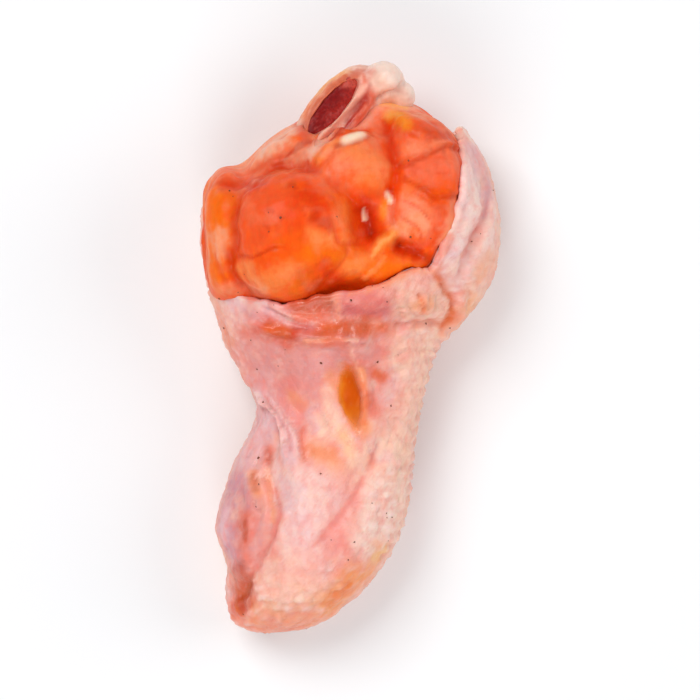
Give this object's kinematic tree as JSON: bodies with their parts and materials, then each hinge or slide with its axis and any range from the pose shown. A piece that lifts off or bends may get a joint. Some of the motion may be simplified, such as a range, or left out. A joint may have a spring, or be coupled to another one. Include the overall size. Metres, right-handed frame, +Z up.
{
  "type": "raw chicken wing drumette",
  "caption": "Raw chicken wing drumette lying on its skin side: skin sleeve drawn round the elbow end, orange marinated meat bulging from the cut, bone end with marrow showing.",
  "frame": {"origin": "centre of the wing seen from above, on the surface that it lies on", "axes": "+Y from the elbow end towards the shoulder end with the bone head, +Z up out of the cut side, +X to the right"},
  "size_m": [0.0519, 0.0986, 0.0345],
  "materials": {
    "skin": "wet, dimpled by feather follicles, smeared with orange marinade",
    "meat": "wet and glossy, fibrous, tinted by the marinade",
    "bone": "moist cartilage, satin",
    "marrow": "spongy, moist"
  },
  "bodies": {
    "root": {"skin": "skin", "meat": "meat", "bone": "bone", "marrow": "marrow"}
  },
  "joints": []
}
